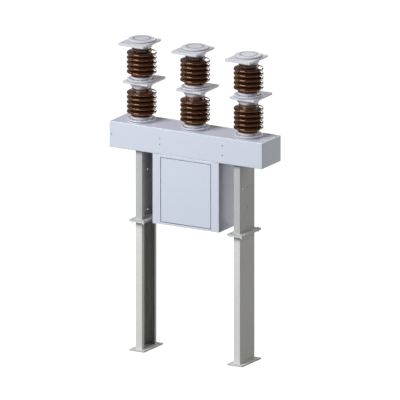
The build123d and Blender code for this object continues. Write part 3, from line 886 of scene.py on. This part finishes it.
shedding, given, result = shape_tree("shedded_porcelain", **PORCELAIN)


def picked(tree, kind, values, item):
    """The value whose number in the row is the item's."""
    switch = place(tree, "GeometryNodeIndexSwitch", data_type=kind)
    while len(switch.index_switch_items) < len(values):
        switch.index_switch_items.new()
    plug(tree, item, switch.inputs["Index"])
    for i, value in enumerate(values):
        plug(tree, value, switch.inputs[str(i)])
    return switch.outputs["Output"]


def corner_points(tree, corners, count=None, item=None, lift=None):
    """Points at (radius, height, rounding) corners, picked by their number in the row."""
    item = item or place(tree, "GeometryNodeInputIndex").outputs["Index"]
    spots = [place(tree, "ShaderNodeCombineXYZ", X=radius, Z=height).outputs["Vector"]
             for radius, height, rounding in corners]
    spot = picked(tree, "VECTOR", spots, item)
    if lift:
        lifted = place(tree, "ShaderNodeVectorMath", operation="ADD")
        plug(tree, spot, lifted.inputs[0])
        plug(tree, lift, lifted.inputs[1])
        spot = lifted.outputs["Vector"]
    points = place(tree, "GeometryNodePoints", Count=count or len(corners), Position=spot)
    rounding = picked(tree, "FLOAT", [rounding for radius, height, rounding in corners], item)
    return place(tree, "GeometryNodeStoreNamedAttribute", data_type="FLOAT", Name="rounding",
                 Geometry=points.outputs["Points"], Value=rounding)


edge = given["Edge Rounding"]
foot_points = corner_points(shedding, [
    (0.0, given["Foot"], 0.0),
    (given["Core Radius"], given["Foot"], 0.0),
    (given["Core Radius"], given["Rim Low"], 0.0),
    (given["Rim Radius"], given["Rim Low"], edge),
    (given["Rim Radius"], given["Rim High"], given["Rim Rounding"]),
    (given["Core Radius"], given["Rim High"], edge),
])
half_tip = calc(shedding, "MULTIPLY", given["Shed Tip"], 0.5)
under_tip = calc(shedding, "MULTIPLY", given["Shed Tip"], -0.5)
under_root = calc(shedding, "ADD", under_tip, given["Shed Undercut"])
shoulder = calc(shedding, "ADD", half_tip, given["Shed Rise"])
shed_index = place(shedding, "GeometryNodeInputIndex").outputs["Index"]
shed_number = calc(shedding, "FLOOR", calc(shedding, "DIVIDE", shed_index, SHED_CORNERS))
shed_corner = calc(shedding, "MODULO", shed_index, SHED_CORNERS)
shed_height = calc(shedding, "MULTIPLY_ADD", shed_number, given["Shed Pitch"], given["First Shed"])
climb = place(shedding, "ShaderNodeCombineXYZ", Z=shed_height).outputs["Vector"]
shed_points = corner_points(shedding, [
    (given["Core Radius"], under_root, given["Root Rounding"]),
    (given["Shed Radius"], under_tip, given["Lip Rounding"]),
    (given["Shed Radius"], half_tip, given["Brow Rounding"]),
    (given["Core Radius"], shoulder, given["Shoulder Rounding"]),
], calc(shedding, "MULTIPLY", given["Shed Count"], SHED_CORNERS), shed_corner, climb)
below_top = calc(shedding, "SUBTRACT", given["Top"], given["Neck Taper"])
top_points = corner_points(shedding, [
    (given["Core Radius"], below_top, edge),
    (given["Neck Radius"], given["Top"], 0.0),
    (0.0, given["Top"], 0.0),
])
row = place(shedding, "GeometryNodeJoinGeometry")
for points in (top_points, shed_points, foot_points):
    plug(shedding, points.outputs["Geometry"], row.inputs["Geometry"])
chain_index = place(shedding, "GeometryNodeInputIndex").outputs["Index"]
chain = place(shedding, "GeometryNodePointsToCurves", Points=row.outputs["Geometry"],
              Weight=chain_index)
body = turned_body(shedding, chain.outputs["Curves"], SHED_ROUNDING_STEPS, given["Segments"])
ended(shedding, body, given, result)

glaze = finish("brown_glaze", GLAZE_BROWN, LIT_UNDERSIDE_BROWN, roughness=0.06, wear=0.0,
               wear_radius=0.006, veil=0.02, cloud_scale=9.0, cloud_depth=0.35,
               grain_scale=120.0, grain_depth=0.00002)
tree = glaze.node_tree
glaze_shader = tree.nodes["Principled BSDF"]
glaze_shader.inputs["Specular IOR Level"].default_value = GLAZE_SHINE
glaze_shader.inputs["Specular Tint"].default_value = GLAZE_TINT
glaze_shader.inputs["IOR"].default_value = GLAZE_IOR
# Painted light: faces turned downwards take a lighter red-brown that stands in for the light their
# shade lacks.
turned_up = place(tree, "ShaderNodeSeparateXYZ",
                  Vector=place(tree, "ShaderNodeNewGeometry").outputs["Normal"]).outputs["Z"]
underside_light_share = place(tree, "ShaderNodeMapRange", interpolation_type="SMOOTHSTEP", Value=turned_up,
                   From_Min=UNDERSIDE_LIGHT_FROM, From_Max=UNDERSIDE_LIGHT_TO).outputs["Result"]
tinted(tree, underside_light_share, LIT_UNDERSIDE_BROWN)
porcelain_shape = grown(shedding, wire([[(0.0, 0.0, 0.0)]]), Finish=glaze, **PORCELAIN)
for node_name, middle, foot, top in sections("insulator"):
    shape = moved(porcelain_shape, middle.x, middle.y, foot)
    dressed(f"glazed_{node_name}", shape, stands_for=[node_name])

# ---- Cement joints ----
# The porcelain is set in its collar with cement, which is struck off in a low grey
# ring that falls outwards, so that no rain stands on it.

CEMENT_GREY = (0.40, 0.40, 0.39)
CEMENT_WORN = (0.5, 0.5, 0.49)
CEMENT_ROOT = 0.003
CEMENT_RISE = 0.0035
CEMENT_OVERLAP = 0.001
CEMENT_SPREAD = 0.005
CEMENT_EDGE = 0.0015

cement = finish("joint_cement", CEMENT_GREY, CEMENT_WORN, roughness=0.8, wear=0.2, veil=0.1,
                cloud_scale=40.0, cloud_depth=0.12, grain_scale=900.0, grain_depth=0.0004)
inner_radius = CORE_RADIUS - CEMENT_OVERLAP
outer_radius = SOCKET_RADIUS + CEMENT_SPREAD
joint_shape = turned([
    (inner_radius, -CEMENT_ROOT, 0),
    (outer_radius, -CEMENT_OVERLAP, 0),
    (outer_radius - CEMENT_OVERLAP, CEMENT_EDGE, CEMENT_OVERLAP),
    (inner_radius, CEMENT_RISE, 0),
    (inner_radius, -CEMENT_ROOT, 0),
], cement)
joints = [moved(joint_shape, middle.x, middle.y, top)
          for node_name, middle, foot, top in sections("foot_flange")]
dressed("cement_joints", merged(joints))

# ---- Terminal heads ----
# Aluminium castings on top of each porcelain: a cone from the round neck to a square
# shoulder, and a flat terminal pad with four bolt holes, machined on top.

HEAD_EDGE = 0.0015

for node_name, middle, foot, top in sections("terminal_head"):
    eased(node_name, HEAD_EDGE, silver)

# ---- Studio ----
# A pale floor and an even room that both look white, a wide soft lamp at the left of
# the front, a strip lamp at the far left and two soft lamps behind the object.

FLOOR_SIZE = 34.0
FLOOR_GREY = 0.3
FLOOR_GLOW = 0.90
FLOOR_ROUGHNESS = 0.9
FLOOR_DROP = 0.0006
SHADE_DROP = 0.0003
SHADE_MARGIN = 0.012
SHADE_GREY = (0.10, 0.10, 0.10)
ROOM_LIGHT = 0.14
ROOM_MIRRORED = 0.25
VIEW_AZIMUTH = 30.0
VIEW_ELEVATION = 15.0
VIEW_WIDTH = 4.541
VIEW_CENTRE = Vector((0.0643, 0.0, 1.827))
CAMERA_DISTANCE = 12.0


def is_looked_at(tree):
    """1 for the rays that see the backdrop straight, in a reflection or through glass."""
    ray = place(tree, "ShaderNodeLightPath").outputs
    seen = calc(tree, "MAXIMUM", ray["Is Camera Ray"], ray["Is Glossy Ray"])
    return calc(tree, "MAXIMUM", seen, ray["Is Transmission Ray"])


def laid(name, corners, faces, material):
    """A flat piece of the stage in one material."""
    mesh = bpy.data.meshes.new(name)
    mesh.from_pydata(corners, [], faces)
    mesh.materials.append(material)
    shown(name, mesh)


pale_floor = bpy.data.materials.new("pale_floor")
pale_floor.use_nodes = True
tree = pale_floor.node_tree
floor_shader = tree.nodes["Principled BSDF"]
floor_shader.inputs["Base Color"].default_value = (FLOOR_GREY, FLOOR_GREY, FLOOR_GREY, 1)
floor_shader.inputs["Roughness"].default_value = FLOOR_ROUGHNESS
floor_shader.inputs["Specular IOR Level"].default_value = 0.0
glow = place(tree, "ShaderNodeEmission")
plug(tree, calc(tree, "MULTIPLY", is_looked_at(tree), FLOOR_GLOW), glow.inputs["Strength"])
total = place(tree, "ShaderNodeAddShader")
plug(tree, floor_shader.outputs["BSDF"], total.inputs[0])
plug(tree, glow.outputs["Emission"], total.inputs[1])
plug(tree, total.outputs["Shader"], tree.nodes["Material Output"].inputs["Surface"])
half = FLOOR_SIZE / 2
outline = ((-half, -half), (half, -half), (half, half), (-half, half))
laid("floor", [(x, y, -FLOOR_DROP) for x, y in outline], [(0, 1, 2, 3)], pale_floor)

# Under the feet the floor gets no light, so the anchor holes look dark.
shade_corners = []
for side in ("left", "right"):
    low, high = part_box(f"{side}_base_plate")
    for x, y in ((low.x, low.y), (high.x, low.y), (high.x, high.y), (low.x, high.y)):
        inward = Vector(((low.x + high.x) / 2 - x, (low.y + high.y) / 2 - y, 0)).normalized()
        shade_corners.append(Vector((x, y, -SHADE_DROP)) + inward * SHADE_MARGIN)
laid("floor_under_feet", shade_corners, [(0, 1, 2, 3), (4, 5, 6, 7)],
     finish("shaded_floor", SHADE_GREY, SHADE_GREY, FLOOR_ROUGHNESS))

room = bpy.data.worlds.new("room")
room.use_nodes = True
bpy.context.scene.world = room
tree = room.node_tree
sky = tree.nodes["Background"]
sky.inputs["Color"].default_value = (1, 1, 1, 1)
ray = place(tree, "ShaderNodeLightPath").outputs
mirrored = calc(tree, "MAXIMUM", ray["Is Glossy Ray"], ray["Is Transmission Ray"])
lit = calc(tree, "MULTIPLY_ADD", mirrored, ROOM_MIRRORED - ROOM_LIGHT, ROOM_LIGHT)
lit = calc(tree, "MULTIPLY_ADD", ray["Is Camera Ray"], 1.0 - ROOM_LIGHT, lit)
plug(tree, lit, sky.inputs["Strength"])


def towards(azimuth, elevation):
    """The unit direction at an azimuth from the front, to the right, and an elevation."""
    turn = math.radians(azimuth)
    lift = math.radians(elevation)
    flat = math.cos(lift)
    return Vector((math.sin(turn) * flat, -math.cos(turn) * flat, math.sin(lift)))


def aimed(name, data, direction, distance):
    """A lamp or camera at that distance from the middle of the view, facing it."""
    holder = shown(name, data)
    holder.location = VIEW_CENTRE + direction * distance
    holder.rotation_mode = "QUATERNION"
    holder.rotation_quaternion = (-direction).to_track_quat("-Z", "Y")
    return holder


def softbox(name, direction, distance, width, height, power):
    """A rectangular soft lamp."""
    lamp = bpy.data.lights.new(name, "AREA")
    lamp.shape = "RECTANGLE"
    lamp.size = width
    lamp.size_y = height
    lamp.energy = power
    aimed(name, lamp, direction, distance)


softbox("front_softbox", towards(-22, 41), 16.0, width=10.0, height=6.6, power=2750)
softbox("left_strip", towards(-80, 44), 14.0, width=13.0, height=1.2, power=230)
softbox("rear_softbox", towards(144, 17), 8.0, width=3.4, height=4.0, power=205)
softbox("rear_strip", towards(200, 27), 20.0, width=4.0, height=6.5, power=490)

camera_data = bpy.data.cameras.new("camera")
camera_data.type = "ORTHO"
camera_data.ortho_scale = VIEW_WIDTH
camera = aimed("camera", camera_data, towards(VIEW_AZIMUTH, VIEW_ELEVATION), CAMERA_DISTANCE)
bpy.context.scene.camera = camera
bpy.context.scene.view_settings.view_transform = "Standard"
